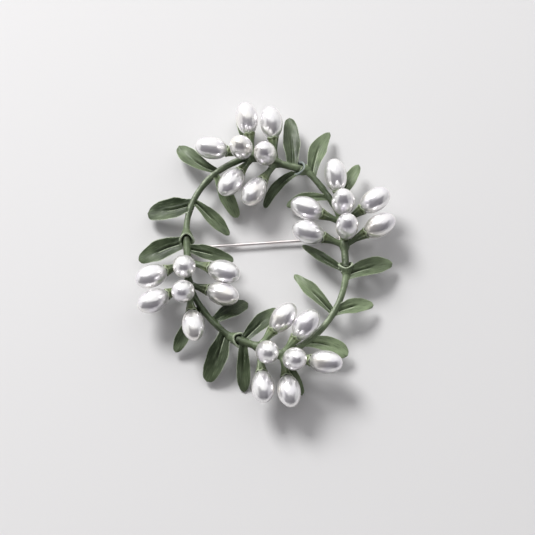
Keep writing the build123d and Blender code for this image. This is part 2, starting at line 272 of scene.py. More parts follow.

# The collar's wall, from its root over the lip to the floor of its bore: how far from its
# back and how wide it is there, how much it shares in the mouth's slant, how pale it is, and
# the painted shade that darkens the bore.
Wall = namedtuple("Wall", "height radius slant pale hollow")
COLLAR = [
    Wall(-0.85, 0.40, 0.0, 0.2, 0.0),
    Wall(-0.60, 0.66, 0.0, 0.3, 0.0),
    Wall(-0.20, 0.86, 0.0, 0.3, 0.0),
    Wall(0.30, 1.02, 0.1, 0.4, 0.0),
    Wall(0.75, 1.12, 0.4, 0.5, 0.0),
    Wall(1.10, 1.20, 0.8, 0.6, 0.0),
    Wall(1.35, 1.26, 1.0, 0.7, 0.0),
    Wall(1.52, 1.24, 1.0, 0.8, 0.0),
    Wall(1.62, 1.14, 1.0, 0.8, 0.0),
    Wall(1.62, 1.02, 1.0, 0.8, 0.0),
    Wall(1.54, 0.91, 1.0, 0.5, 0.0),
    Wall(1.38, 0.82, 1.0, 0.1, 0.2),
    Wall(1.15, 0.77, 0.7, 0.0, 0.4),
    Wall(1.00, 0.76, 0.4, 0.0, 0.6),
    Wall(0.60, 0.76, 0.1, 0.0, 0.6),
    Wall(0.60, 0.30, 0.1, 0.0, 0.3),
]


def toward(bearing, rise=0.0):
    """The unit vector at a compass bearing and a rise, in degrees."""
    b, r = np.radians(bearing), np.radians(rise)
    return np.array([np.cos(r) * np.cos(b), np.cos(r) * np.sin(b), np.sin(r)])


def unit(v):
    return v / np.linalg.norm(v)


def turn(sides):
    """The angles of the sides of a ring."""
    return np.arange(sides) * 2 * np.pi / sides


def step(low, high, x):
    """A smooth step from 0 at low to 1 at high."""
    t = np.clip((x - low) / (high - low), 0, 1)
    return t * t * (3 - 2 * t)


def bell(x, middle, width):
    return np.exp(-(((x - middle) / width) ** 2))


def eased(x, column):
    """A smooth curve through one column of the stations."""
    xs = np.array([station.along for station in STATIONS])
    ys = np.array([getattr(station, column) for station in STATIONS])
    slopes = np.gradient(ys, xs)
    i = np.clip(np.searchsorted(xs, x) - 1, 0, len(xs) - 2)
    h = xs[i + 1] - xs[i]
    t = (np.clip(x, 0, 1) - xs[i]) / h
    a = (1 + 2 * t) * (1 - t) ** 2 * ys[i] + t * (1 - t) ** 2 * h * slopes[i]
    b = t * t * (3 - 2 * t) * ys[i + 1] + t * t * (t - 1) * h * slopes[i + 1]
    return a + b


def joint_point(name):
    """The middle of the collar that a sprig's rod starts from."""
    joint = JOINTS[name]
    x = ring_middle[0] + joint.x * ring_half_width
    y = ring_middle[1] + joint.y * ring_half_height
    return np.array([x, y, stem_height])


def node_distance(name, node):
    """How far a node stands from the middle of the collar."""
    steps = (0.0, node_pitch, node_pitch + end_offset)
    return SPRIGS[name].rod * rod_length + SPRIGS[name].pitch * steps[node]


def node_point(name, node):
    return joint_point(name) + toward(JOINTS[name].bearing) * node_distance(name, node)


def stem_arc(name, shares):
    """Points of the stem's centre line at shares of its length."""
    start = node_point(name, 1)
    after = NEXT_SPRIG[name]
    end = joint_point(after) - toward(JOINTS[after].bearing) * (collar_length / 2)
    chord = end - start
    length = np.linalg.norm(chord)
    outward = unit(np.cross(chord, UP))
    rise = length * SPRIGS[name].bow
    radius = (length**2 / 4 + rise**2) / (2 * rise)
    centre = (start + end) / 2 + outward * (rise - radius)
    half = np.arcsin(length / 2 / radius)
    angles = (2 * np.asarray(shares) - 1) * half
    along = unit(chord)
    return centre + radius * (np.cos(angles)[:, None] * outward + np.sin(angles)[:, None] * along)


def pearl_place(name, pearl):
    """The pearl's middle, and the three axes whose last one leaves its stalk."""
    bearing = JOINTS[name].bearing + pearl.bearing
    reach = pearl.reach * pearl_reach
    middle = node_point(name, pearl.node) + toward(bearing, pearl.rise) * reach
    z = toward(bearing, pearl.rise + pearl.lift)
    x = toward(bearing + 90)
    return middle, np.array([x, np.cross(z, x), z])


# What the paint knows at each point: where it is pale, from rubbing and from painted highlights,
# where painted shade darkens it, how pale it is as a whole (a tone that also stands in for how
# much light falls there), where it is a calyx or bare metal, and its place along and across the grain.
MARKS = ("pale", "hollow", "tone", "calyx", "bare", "grain_x", "grain_y")


def coat(shape, **marks):
    """The paint marks of a tube's points, a layer for each of MARKS."""
    return np.stack([np.broadcast_to(marks.get(mark, 0.0), shape) for mark in MARKS], -1)


def lit_side_highlight(rings):
    """Painted highlight: pale marks on the side of a tube that faces up and towards the key light, over a
    faint even pale.
    """
    spokes = rings - rings.mean(axis=1, keepdims=True)
    spokes = spokes / np.linalg.norm(spokes, axis=-1, keepdims=True)
    return 0.15 + 0.6 * np.clip(spokes @ toward(LIGHT_BEARING, 55), 0, 1) ** 4


class Shell:
    """Closed tubes gathered for one mesh, and the paint marks of their points."""

    def __init__(self):
        self.points = []
        self.paint = []
        self.faces = []
        self.count = 0

    def add(self, rings, paint=None, looped=False):
        """A tube through rings of points. Its ends are closed, or joined to each other."""
        rings = np.asarray(rings)
        rows, columns = rings.shape[:2]
        if paint is None:
            paint = coat((rows, columns))
        base = self.count
        self.points += [rings.reshape(-1, 3), rings[[0, -1]].mean(axis=1)]
        self.paint += [paint.reshape(-1, len(MARKS)), paint[[0, -1]].mean(axis=1)]
        i = np.arange(columns)
        j = (i + 1) % columns
        for row in range(rows if looped else rows - 1):
            a = base + row * columns
            b = base + (row + 1) % rows * columns
            self.faces += np.stack([a + i, a + j, b + j, b + i], 1).tolist()
        if not looped:
            first, last = base + rows * columns, base + rows * columns + 1
            top = base + (rows - 1) * columns
            self.faces += [[first, base + q, base + p] for p, q in zip(i.tolist(), j.tolist())]
            self.faces += [[last, top + p, top + q] for p, q in zip(i.tolist(), j.tolist())]
        self.count += rows * columns + 2

    def mesh(self, name):
        mesh = bpy.data.meshes.new(name)
        mesh.from_pydata(np.concatenate(self.points).tolist(), [], self.faces)
        return mesh


def tube(points, radii, sides=ROD_SIDES, ridges=0.0):
    """Rings round a path that never turns upright. Ridges make the section uneven."""
    points = np.asarray(points, float)
    tangents = np.gradient(points, axis=0)
    angles = turn(sides)
    rings = []
    for point, tangent, radius in zip(points, tangents, np.broadcast_to(radii, len(points))):
        tangent = unit(tangent)
        side = unit(np.cross(UP, tangent))
        up = np.cross(tangent, side)
        r = radius * (1 + ridges * np.cos(3 * angles + 0.04 * len(rings)))[:, None]
        rings.append(point + r * (np.cos(angles)[:, None] * side + np.sin(angles)[:, None] * up))
    return np.array(rings)


def lathe(origin, axes, heights, radii):
    """Rings of a turned form, from a row of heights and of radii for each ring."""
    angles = turn(heights.shape[1])
    round_it = np.cos(angles)[:, None] * axes[0] + np.sin(angles)[:, None] * axes[1]
    return origin + radii[..., None] * round_it + heights[..., None] * axes[2]


def add_stem(shell, name):
    """The bowed stem, thicker at both ends, with the slight waver of a wax model."""
    shares = np.linspace(0, 1, STEM_ROWS)
    waver = stem_waver * np.sin(23 * shares + len(name)) + stem_fine_waver * np.sin(41 * shares + 1.3)
    swell = stem_root_swell * (1 - step(0.0, 0.12, shares)) + stem_end_swell * step(0.92, 1.0, shares)
    rings = tube(stem_arc(name, shares), stem_dia / 2 - stem_waver + waver + swell, ridges=0.035)
    # Painted highlight on the side that faces the light; the tone, which also stands in for light, is
    # paler at the stem's end
    marks = coat(
        rings.shape[:2],
        pale=lit_side_highlight(rings),
        tone=SPRIGS[name].tone + 0.4 * step(0.8, 1.0, shares)[:, None],
        grain_x=shares[:, None] * 20,
        grain_y=np.arange(ROD_SIDES) * ROD_GRAIN,
    )
    shell.add(rings, marks)


def add_rod(shell, name):
    """The straight rod with its knuckles. Its rings are closest in the collar's bore."""
    start = collar_length / 2 - collar_bore_depth + socket_gap
    length = node_distance(name, 2) + rod_overrun - start
    distances = start + length * np.linspace(0, 1, ROD_ROWS) ** 1.4
    radii = np.full(len(distances), rod_dia / 2)
    for node in (0, 1):
        near = np.abs(distances - node_distance(name, node)) / (knuckle_length / 2)
        radii += (knuckle_dia - rod_dia) / 2 * np.clip(1 - near**2, 0, 1) ** 1.5
    radii *= 1 - rod_end_taper * np.clip(1 - (distances - start) / rod_end_length, 0, 1) ** 2
    rings = tube(joint_point(name) + distances[:, None] * toward(JOINTS[name].bearing), radii, ridges=0.03)
    # Painted highlight on the side that faces the light, and painted shade where the rod goes into the
    # collar's bore
    marks = coat(
        rings.shape[:2],
        pale=lit_side_highlight(rings),
        hollow=0.5 * (1 - step(0.6, 1.1, distances))[:, None],
        tone=ROD_TONE,
        grain_x=distances[:, None],
        grain_y=np.arange(ROD_SIDES) * ROD_GRAIN,
    )
    shell.add(rings, marks)


def add_collar(shell, name):
    """The collar that a rod is plugged into, cut back on top so that the rod's end shows."""
    axis = toward(JOINTS[name].bearing)
    side = np.cross(UP, axis)
    back = joint_point(name) - axis * (collar_length / 2)
    height, radius, slant, pale, hollow = np.array(COLLAR).T[:, :, None]
    angles = turn(COLLAR_SIDES)
    high = np.sin(angles)
    heights = height - slant * (collar_cut_back * high + collar_cut_bow * high**2)
    oval = 1 + collar_oval * slant * np.cos(2 * angles)
    radii = radius * oval * (1 + 0.02 * np.cos(3 * angles + 0.7) + 0.02 * np.cos(5 * angles))
    rings = lathe(back, (side, UP, axis), heights, radii)
    # Painted shade darkens the bore; one collar's mouth is bare metal
    marks = coat(
        rings.shape[:2],
        pale=pale,
        hollow=hollow,
        tone=COLLAR_TONE,
        bare=slant * (name == BARE_COLLAR),
        grain_x=height,
        grain_y=angles,
    )
    shell.add(rings, marks)


def add_stalk(shell, name, pearl):
    """The stalk, flared where it leaves the rod."""
    middle, axes = pearl_place(name, pearl)
    node = node_point(name, pearl.node)
    end = middle + axes[2] * (cup_cover - pearl_length / 2 - cup_length + stalk_dia / 2)
    shares = np.linspace(0, 1, STALK_ROWS)
    radii = stalk_dia / 2 + stalk_spare + stalk_flare * (1 - shares) ** 3
    rings = tube(node + shares[:, None] * (end - node), radii, STALK_SIDES, ridges=0.05)
    # Painted highlight on the side that faces the light, and painted shade where the stalk leaves the rod
    marks = coat(
        rings.shape[:2],
        pale=lit_side_highlight(rings),
        hollow=0.35 * (1 - shares)[:, None],
        tone=SPRIGS[name].tone + CUP_TONE,
        grain_x=shares[:, None] * 3,
        grain_y=np.arange(STALK_SIDES) * STALK_GRAIN,
    )
    shell.add(rings, marks)


def cup_section():
    """The cup's wall from the stalk over its lip into the seat where the pearl sits. Rows
    of height, radius, how much the ribs show, pale and painted shade."""

    def rows(*columns):
        return np.column_stack(np.broadcast_arrays(*map(np.atleast_1d, columns)))

    rim = cup_cover - pearl_length / 2
    root = rim - cup_length
    seat = pearl_dia / 2 * np.sqrt(1 - (2 * rim / pearl_length) ** 2) + seat_gap
    stalk = np.array([stalk_dia / 2, root])
    waist = np.array([cup_waist_dia / 2, root + cup_waist_height])
    mouth = np.array([seat + cup_wall, rim])
    t = np.linspace(0, 1, CUP_ROWS)[:, None]
    radius, height = ((1 - t) ** 2 * stalk + 2 * t * (1 - t) * waist + t * t * mouth).T
    groove = bell(height, rim - cup_groove_drop, cup_groove_width)
    radius = radius + cup_lip_bulge * bell(height, rim - 0.12, 0.14) - cup_groove_depth * groove
    ribs = step(root - 0.1, root + 0.9, height) * (1 - step(rim - 0.5, rim - 0.15, height))
    pale = 0.45 * bell(height, rim, 0.25) + 0.2
    hollow_length = pearl_length / 2 + 2.0 * seat_gap
    hollow_radius = pearl_dia / 2 + 2.0 * seat_gap
    inside = np.linspace(rim - 0.06, 0.02 - hollow_length, CUP_HOLLOW_ROWS)
    inside_radius = hollow_radius * np.sqrt(1 - (inside / hollow_length) ** 2)
    # The last column is painted shade: at the stalk, in the groove under the lip and all through the seat
    return np.vstack([
        rows(root - 0.2, stalk_dia / 2 - 0.05, 0, 0, 0.4),
        rows(height, radius, ribs, pale, 0.6 * groove),
        rows(rim + 0.05, seat + 0.7 * cup_wall, 0, 0.5, 0),
        rows(rim + 0.03, seat + 0.35 * cup_wall, 0, 0.3, 0.2),
        rows(inside, inside_radius, 0, 0, 1),
    ])


def add_cup(shell, name, pearl):
    """The calyx: a ribbed trumpet with a lobed and rolled lip."""
    middle, axes = pearl_place(name, pearl)
    rim = cup_cover - pearl_length / 2
    root = rim - cup_length
    phase = 1.7 * pearl.number
    height, radius, ribs, pale, hollow = cup_section().T[:, :, None]
    angles = turn(CUP_SIDES)
    wave = np.cos(cup_ribs * angles + phase) * (1 + 0.5 * np.cos(3 * angles + 2 * phase)) / 1.3
    lobes = cup_lobe_height * np.cos(cup_lobes * angles + phase)
    heights = height + lobes * step(rim - 0.6, rim, height)
    rings = lathe(middle, axes, heights, radius * (1 + cup_rib_share * wave * ribs))
    # Pale on the rib tops, a painted highlight on the side that faces the light, and painted shade between
    # the ribs
    marks = coat(
        rings.shape[:2],
        pale=np.clip(pale + 0.45 * ribs * wave + 0.15 * lit_side_highlight(rings), 0, 1),
        hollow=np.clip(hollow - 0.45 * ribs * np.minimum(wave, 0), 0, 1),
        calyx=step(root, rim - 0.3, heights),
        tone=SPRIGS[name].tone + CUP_TONE,
        grain_x=heights,
        grain_y=angles * 0.8,
    )
    shell.add(rings, marks)


def leaf_root(name, leaf):
    """Where a leaf leaves the rod, the stem or the side of the collar."""
    if leaf.on == "stem":
        return stem_arc(name, [leaf.along])[0]
    if leaf.on == "collar":
        after = NEXT_SPRIG[name]
        axis = toward(JOINTS[after].bearing)
        aside = toward(leaf.bearing) - axis * (toward(leaf.bearing) @ axis)
        on_axis = joint_point(after) + axis * ((leaf.along - 0.5) * collar_length)
        return on_axis + unit(aside) * ((collar_dia + rod_dia) / 4)
    distance = leaf.along * SPRIGS[name].rod * rod_length
    return joint_point(name) + toward(JOINTS[name].bearing) * distance


def leaf_frames(name, leaf, shares):
    """The bent and drooping midrib: its points, and the leaf's side and up there."""
    bearings = leaf.bearing + leaf.bend * (shares - 0.5)
    headings = np.array([toward(b, leaf.rise - leaf.droop * t) for b, t in zip(bearings, shares)])
    lengths = np.diff(shares)[:, None] * leaf.length * leaf_length
    steps = (headings[1:] + headings[:-1]) / 2 * lengths
    points = leaf_root(name, leaf) + np.vstack([np.zeros(3), np.cumsum(steps, axis=0)])
    sides = np.array([toward(b + 90) for b in bearings])
    ups = np.cross(headings, sides)
    c, s = np.cos(np.radians(leaf.roll)), np.sin(np.radians(leaf.roll))
    return points, sides * c + ups * s, ups * c - sides * s


def midrib_wander(t, seed):
    """How far the groove strays from the middle of the leaf."""
    return 0.05 * np.sin(9 * t + seed)


def leaf_shape(leaf, seed, t, across):
    """Place across and the heights of both skins for a grid on the leaf, and the groove's share."""
    width = leaf.width * leaf_width
    half = eased(t, "half") * width * (1 + (leaf.heel - 1) * (1 - t) ** 2)
    half = half * (1 - 0.1 * leaf.point) * (1 - 0.36 * leaf.point * step(0.5, 0.95, t))
    half = half * (1 + 0.03 * np.sin(11 * t + seed) + 0.02 * np.sin(19 * t + 2 * seed))
    place = across * half
    out = np.abs(across)
    trough = eased(t, "trough") * width * out ** (1.0 + 0.9 * t)
    trough = trough - 0.10 * width * step(0.7, 1.0, t) * out**2
    line = leaf.groove * step(0.02, 0.10, t) * (1 - step(0.42, 0.70, t))
    valley = np.abs(place - midrib_wander(t, seed))
    groove = leaf_groove_depth * np.clip(1 - valley / leaf_groove_half_width, 0, 1)
    lips = leaf_lip_height * bell(valley, leaf_lip_place, leaf_lip_width)
    waver = 0.03 * np.sin(7 * t + 3 * across + seed) + 0.02 * np.sin(16 * t - 5 * across + seed)
    top = trough - line * groove + line * lips + waver
    rib = eased(t, "rib") * leaf_thickness
    thick = leaf_edge + (rib - leaf_edge) * (1 - out) ** 1.2
    thick = thick * np.sqrt(np.clip(1 - out**6, 0, 1)) * (1 - 0.5 * step(0.94, 1.0, t))
    return place, top, trough - thick, line


def add_leaf(shell, name, leaf, seed):
    """A leaf: a grooved trough at its root that opens into a soft tip."""
    shares = 1 - (1 - np.linspace(0, 1, LEAF_ROWS)) ** 1.25
    points, sides, ups = leaf_frames(name, leaf, shares)
    across = np.cos(np.linspace(0, np.pi, LEAF_COLUMNS))[None, :]
    t = shares[:, None]
    place, top, bottom, line = leaf_shape(leaf, seed, t, across)
    out = np.abs(across) * np.ones_like(t)

    # The lip on the side of the groove away from the light faces it and gets a painted highlight, the
    # other lip a fainter pale line, and the groove beside them painted shade
    far = -np.sign(sides @ toward(LIGHT_BEARING))[:, None]
    valley = far * (place - midrib_wander(t, seed))
    lips = 1.3 * bell(valley, 0.20, 0.10) + 0.5 * bell(valley, -0.28, 0.08)
    # Pale margins: partly rubbed paint, partly painted highlight on the rounded edges
    edge = 0.95 * step(0.84, 0.98, out) + 0.4 * step(0.97, 1.0, t)
    pale = np.clip(edge + line * lips, 0, 1)
    # Painted shade at the leaf's root
    root = 0.3 * (1 - step(0.0, 0.15, t))
    hollow = np.clip(1.3 * line * bell(valley, -0.05, 0.07) + root, 0, 1)

    # Rings run across the upper skin and back under it, without repeating the edges
    back = slice(-2, 0, -1)
    heights = np.concatenate([top, bottom[:, back]], 1)
    places = np.concatenate([place, place[:, back]], 1)
    # Underneath, pale margins and an even painted shade
    pale = np.concatenate([pale, step(0.88, 0.98, out)[:, back]], 1)
    hollow = np.concatenate([hollow, np.full_like(out, 0.5)[:, back]], 1)
    rings = points[:, None] + places[..., None] * sides[:, None] + heights[..., None] * ups[:, None]
    # The tone, which also stands in for light, grows paler towards the tip
    marks = coat(
        rings.shape[:2],
        pale=pale,
        hollow=hollow,
        tone=leaf.tone + 0.4 * t,
        grain_x=t * leaf.length * leaf_length + 13 * seed,
        grain_y=places,
    )
    shell.add(clear_bore(rings, NEXT_SPRIG[name]), marks)


def clear_bore(rings, name):
    """Push points out of the space that the next sprig's rod needs."""
    axis = toward(JOINTS[name].bearing)
    floor = joint_point(name) + axis * (collar_length / 2 - collar_bore_depth)
    offset = rings - floor
    along = offset @ axis
    radial = offset - along[..., None] * axis
    distance = np.linalg.norm(radial, axis=-1)
    bore = rod_dia / 2 + collar_spare
    inside = (along > 0) & (along < 2.2 * collar_length) & (distance < bore)
    scale = np.where(inside, bore / np.maximum(distance, 0.05), 1.0)
    return floor + along[..., None] * axis + radial * scale[..., None]


def sprig_shell(name):
    """All the closed tubes of one sprig."""
    shell = Shell()
    add_stem(shell, name)
    add_rod(shell, name)
    add_collar(shell, NEXT_SPRIG[name])
    for pearl in PEARLS[name]:
        add_stalk(shell, name, pearl)
        add_cup(shell, name, pearl)
    for index, leaf in enumerate(LEAVES[name]):
        add_leaf(shell, name, leaf, 1.9 * index + len(name))
    return shell


def points_of(mesh):
    points = np.empty(len(mesh.vertices) * 3)
    mesh.vertices.foreach_get("co", points)
    return points.reshape(-1, 3)


def add_value(mesh, name, values):
    layer = mesh.attributes.new(name, "FLOAT", "POINT")
    layer.data.foreach_set("value", np.asarray(values, np.float32))


def one_skin(shell, name):
    """One skin round all the tubes of a shell, its joins softened."""
    rough = bpy.data.objects.new(name + "_rough", shell.mesh(name + "_rough"))
    bpy.context.scene.collection.objects.link(rough)
    skin = rough.modifiers.new("skin", "REMESH")
    skin.mode = "VOXEL"
    skin.voxel_size = VOXEL
    soften = rough.modifiers.new("soften", "SMOOTH")
    soften.factor = 0.5
    soften.iterations = SOFTEN_ROUNDS
    thin = rough.modifiers.new("thin", "DECIMATE")
    thin.ratio = KEPT_SHARE
    seen = rough.evaluated_get(bpy.context.evaluated_depsgraph_get())
    mesh = bpy.data.meshes.new_from_object(seen)
    mesh.name = name
    old = rough.data
    bpy.data.objects.remove(rough)
    bpy.data.meshes.remove(old)
    return mesh


def carry_marks(shell, mesh):
    """Give each point of a skin the paint marks of the three tube points nearest to it."""
    paint = np.concatenate(shell.paint)
    tree = KDTree(len(paint))
    for index, point in enumerate(np.concatenate(shell.points)):
        tree.insert(point, index)
    tree.balance()
    marks = []
    for point in points_of(mesh):
        found = tree.find_n(point, 3)
        weights = np.array([1 / (0.01 + distance) for _, _, distance in found])
        marks.append(weights @ paint[[index for _, index, _ in found]] / weights.sum())
    for mark, values in zip(MARKS, np.array(marks).T):
        add_value(mesh, mark, values)


def bulge(mesh, rounds=2):
    """How far each point stands out of its surroundings, from about -1 to 1."""
    points = points_of(mesh)
    edges = np.empty(len(mesh.edges) * 2, int)
    mesh.edges.foreach_get("vertices", edges)
    a, b = edges.reshape(-1, 2).T
    count = np.bincount(a, minlength=len(points)) + np.bincount(b, minlength=len(points))

    def neighbours(values):
        total = np.bincount(a, values[b], len(points)) + np.bincount(b, values[a], len(points))
        return total / np.maximum(count, 1)

    normals = np.empty(len(points) * 3)
    mesh.vertex_normals.foreach_get("vector", normals)
    middle = np.stack([neighbours(points[:, i]) for i in range(3)], 1)
    out = ((points - middle) * normals.reshape(-1, 3)).sum(1)
    for _ in range(rounds):
        out = (out + neighbours(out)) / 2
    usual, most = np.percentile(out, [50, 97])
    return np.clip((out - usual) / (most - usual), -1, 1)


def casting_mesh(name):
    """One sprig's casting, with the marks of its paint, of its painted light and shade and of its wear."""
    shell = sprig_shell(name)
    mesh = one_skin(shell, "sprig_" + name)
    carry_marks(shell, mesh)
    add_value(mesh, "wear", bulge(mesh))
    return mesh


def pearl_mesh(name, pearl):
    """A rice pearl with its drilled hole, a little uneven as grown pearls are."""
    middle, axes = pearl_place(name, pearl)
    seed = 2.3 * pearl.number + len(name)
    half = pearl_length / 2
    hole = pearl_hole_dia / 2
    mouth = -half * np.sqrt(1 - (2 * hole / pearl_dia) ** 2)
    skin = np.linspace(np.arcsin(mouth / half), np.pi / 2 - 0.01, PEARL_ROWS)
    floor = pearl_hole_depth - half
    heights = np.concatenate([[floor, floor, mouth + 0.08], half * np.sin(skin)])
    radii = np.concatenate([[0.02, hole, hole], pearl_dia / 2 * np.cos(skin)])
    angles = turn(PEARL_SIDES)
    z, r = heights[:, None], radii[:, None]
    uneven = 0.006 * np.sin(2 * angles + seed) + 0.005 * np.sin(3 * angles + 1.3 * z + 2 * seed)
    shell = Shell()
    shell.add(lathe(middle, axes, z + 0 * angles, r * (1 + uneven * (r > hole))))
    mesh = shell.mesh(name)
    offset = points_of(mesh) - middle

    # The skin's fine lines run along the pearl
    for letter, axis, gain in zip("xyz", axes, (1.1, 1.1, 0.22)):
        add_value(mesh, "flow_" + letter, gain * (offset @ axis) + seed)
    return mesh


def pin_mesh(name):
    """The pin: a wire with a round eye, a tapered neck and a long point."""
    along = toward(pin_bearing)
    across = np.cross(UP, along)
    start = joint_point("left") + toward(JOINTS["left"].bearing) * (collar_length / 2 + 0.2)
    hinge = np.array([start[0], start[1], pin_height])
    eye, hole = eye_dia / 2, rivet_dia / 2 + rivet_gap
    wire_end = pin_reach - pin_point_length
    distances = np.concatenate([
        np.linspace(eye - 0.15, pin_neck_length + 0.6, 16),
        [8, 14],
        np.linspace(wire_end - 1, pin_reach - 0.1, 40),
        [pin_reach - 0.02],
    ])
    neck = 1 - step(eye - 0.2, pin_neck_length + 0.4, distances)
    point = np.clip((distances - wire_end) / (pin_reach - wire_end), 0, 1)
    radii = pin_dia / 2 * (1 - 0.78 * point**1.6) + (eye_thickness - pin_dia) / 2 * 0.8 * neck
    radii[-1] *= 0.5
    shell = Shell()
    shell.add(tube(hinge + distances[:, None] * along, radii, 32))

    # The eye is a ring whose section is a rounded square
    loop = turn(24)
    out = (eye + hole) / 2 + (eye - hole) / 2 * np.sign(np.cos(loop)) * np.abs(np.cos(loop)) ** 0.5
    wide = eye_thickness / 2 * np.sign(np.sin(loop)) * np.abs(np.sin(loop)) ** 0.5
    around = turn(56)[:, None, None]
    spoke = np.cos(around) * along + np.sin(around) * UP
    shell.add(hinge + out[:, None] * spoke + wide[:, None] * across, looped=True)
    return shell.mesh(name)


def place_piece(mesh, name, material, body, node):
    """A finished piece in metres that stands for a CAD node."""
    points = points_of(mesh) * MM
    mesh.vertices.foreach_set("co", points.ravel())
    mesh.shade_smooth()
    mesh.materials.clear()
    mesh.materials.append(material)
    piece = bpy.data.objects.new(name, mesh)
    bpy.context.scene.collection.objects.link(piece)
    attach(piece, body)
    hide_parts(node)
    return piece


class Tree:
    """A node tree, with short ways to add the nodes that the looks are made of."""

    def __init__(self, tree):
        self.nodes = tree.nodes
        self.links = tree.links

    def fill(self, node, inputs):
        """Link a node's sockets to others, or set their numbers, vectors and colours."""
        for key, value in inputs.items():
            if isinstance(value, bpy.types.NodeSocket):
                self.links.new(value, node.inputs[key])
            elif isinstance(value, tuple):
                node.inputs[key].default_value = (*value, 1.0)
            else:
                node.inputs[key].default_value = value

    def add(self, kind, output, inputs, **settings):
        """A new node's output."""
        node = self.nodes.new("ShaderNode" + kind)
        for setting, value in settings.items():
            setattr(node, setting, value)
        self.fill(node, inputs)
        return node.outputs[output]

    def attribute(self, name):
        return self.add("Attribute", "Fac", {}, attribute_name=name)

    def noise(self, scale, detail, roughness=0.5, place=None):
        if place is None:
            place = self.add("TexCoord", "Object", {})
        inputs = {"Vector": place, "Scale": scale, "Detail": detail, "Roughness": roughness}
        return self.add("TexNoise", "Fac", inputs)

    def math(self, operation, *values):
        return self.add("Math", 0, dict(enumerate(values)), operation=operation)

    def spread(self, value, low, high, to_low=0.0, to_high=1.0):
        inputs = dict(enumerate((value, low, high, to_low, to_high)))
        return self.add("MapRange", 0, inputs, interpolation_type="SMOOTHSTEP")

    def mixed(self, factor, a, b):
        """Colour a where the factor is 0 and colour b where it is 1."""
        return self.add("Mix", 2, {0: factor, 6: a, 7: b}, data_type="RGBA")

    def bumped(self, height, distance, strength):
        inputs = {"Height": height, "Distance": distance, "Strength": strength}
        return self.add("Bump", "Normal", inputs)


def new_material(name):
    """A material, its tree and its shader."""
    material = bpy.data.materials.new(name)
    material.use_nodes = True
    tree = Tree(material.node_tree)
    return material, tree, tree.nodes["Principled BSDF"]


def srgb(r, g, b):
    """A colour given in 0 to 255, as the shader wants it."""
    c = np.array([r, g, b]) / 255
    return tuple(np.where(c > 0.04045, ((c + 0.055) / 1.055) ** 2.4, c / 12.92).tolist())


# The paint's green runs from dark to light with its tone, which also stands in for light and shade, and
# faint streaks follow its grain
DARK_SAGE = srgb(34, 45, 24)
LIGHT_SAGE = srgb(140, 156, 121)
DARK_STREAK = srgb(31, 42, 25)
LIGHT_STREAK = srgb(131, 146, 116)

# A wash lies over the green where its mark and a share of a noise add up to more than low,
# and is as strong as it gets where they reach high.
Wash = namedtuple("Wash", "mark noise share low high colour most")
WASHES = [
    Wash("calyx", "broad", 0.8, 0.8, 1.6, srgb(125, 135, 90), 0.5),
    # Painted shade: near black in bores, grooves, cups, creases, leaf roots and under the leaves
    Wash("hollow", "fine", 0.3, 0.3, 1.1, srgb(18, 22, 12), 0.92),
    Wash("wear", "fine", 0.9, 0.7, 1.5, srgb(160, 173, 144), 0.65),
    # Pale: rubbed edges, and painted highlights on the sides that face the light
    Wash("pale", "fine", 0.7, 0.75, 1.3, srgb(189, 199, 175), 0.9),
    Wash("bare", "fine", 0.8, 0.7, 1.5, srgb(113, 121, 130), 0.75),
]


def leaf_paint():
    """Satin sage paint over cast metal, with painted shade in its recesses and pale edges that are partly
    rubbed paint and partly painted highlight.
    """
    material, tree, shader = new_material("leaf_paint")
    noises = {"broad": tree.noise(260, 2.0), "fine": tree.noise(1600, 4.0, 0.6)}
    along = tree.math("MULTIPLY", tree.attribute("grain_x"), 0.35)
    across = tree.math("MULTIPLY", tree.attribute("grain_y"), 3.0)
    streak = tree.noise(1.6, 4.0, 0.6, tree.add("CombineXYZ", 0, {0: along, 1: across}))

    def roughened(mark, noise, share):
        return tree.math("MULTIPLY_ADD", noises[noise], share, tree.attribute(mark))

    # The green follows the tone, which also stands in for light and shade
    green = tree.spread(roughened("tone", "broad", 1.2), 0.4, 2.2)
    colour = tree.mixed(green, DARK_SAGE, LIGHT_SAGE)
    colour = tree.mixed(tree.spread(streak, 0.5, 0.75, 0.0, 0.4), colour, LIGHT_STREAK)
    colour = tree.mixed(tree.spread(streak, 0.5, 0.3, 0.0, 0.5), colour, DARK_STREAK)
    for wash in WASHES:
        value = roughened(wash.mark, wash.noise, wash.share)
        strength = tree.spread(value, wash.low, wash.high, 0.0, wash.most)
        colour = tree.mixed(strength, colour, wash.colour)
    relief = tree.math("MULTIPLY_ADD", noises["fine"], 0.5, streak)
    inputs = {
        "Base Color": colour,
        "Roughness": tree.spread(noises["fine"], 0.2, 0.8, 0.38, 0.54),
        "Specular IOR Level": 0.32,
        "Coat Weight": 0.06,
        "Coat Roughness": 0.25,
        "Normal": tree.bumped(relief, 0.00004, 0.5),
    }
    tree.fill(shader, inputs)
    return material


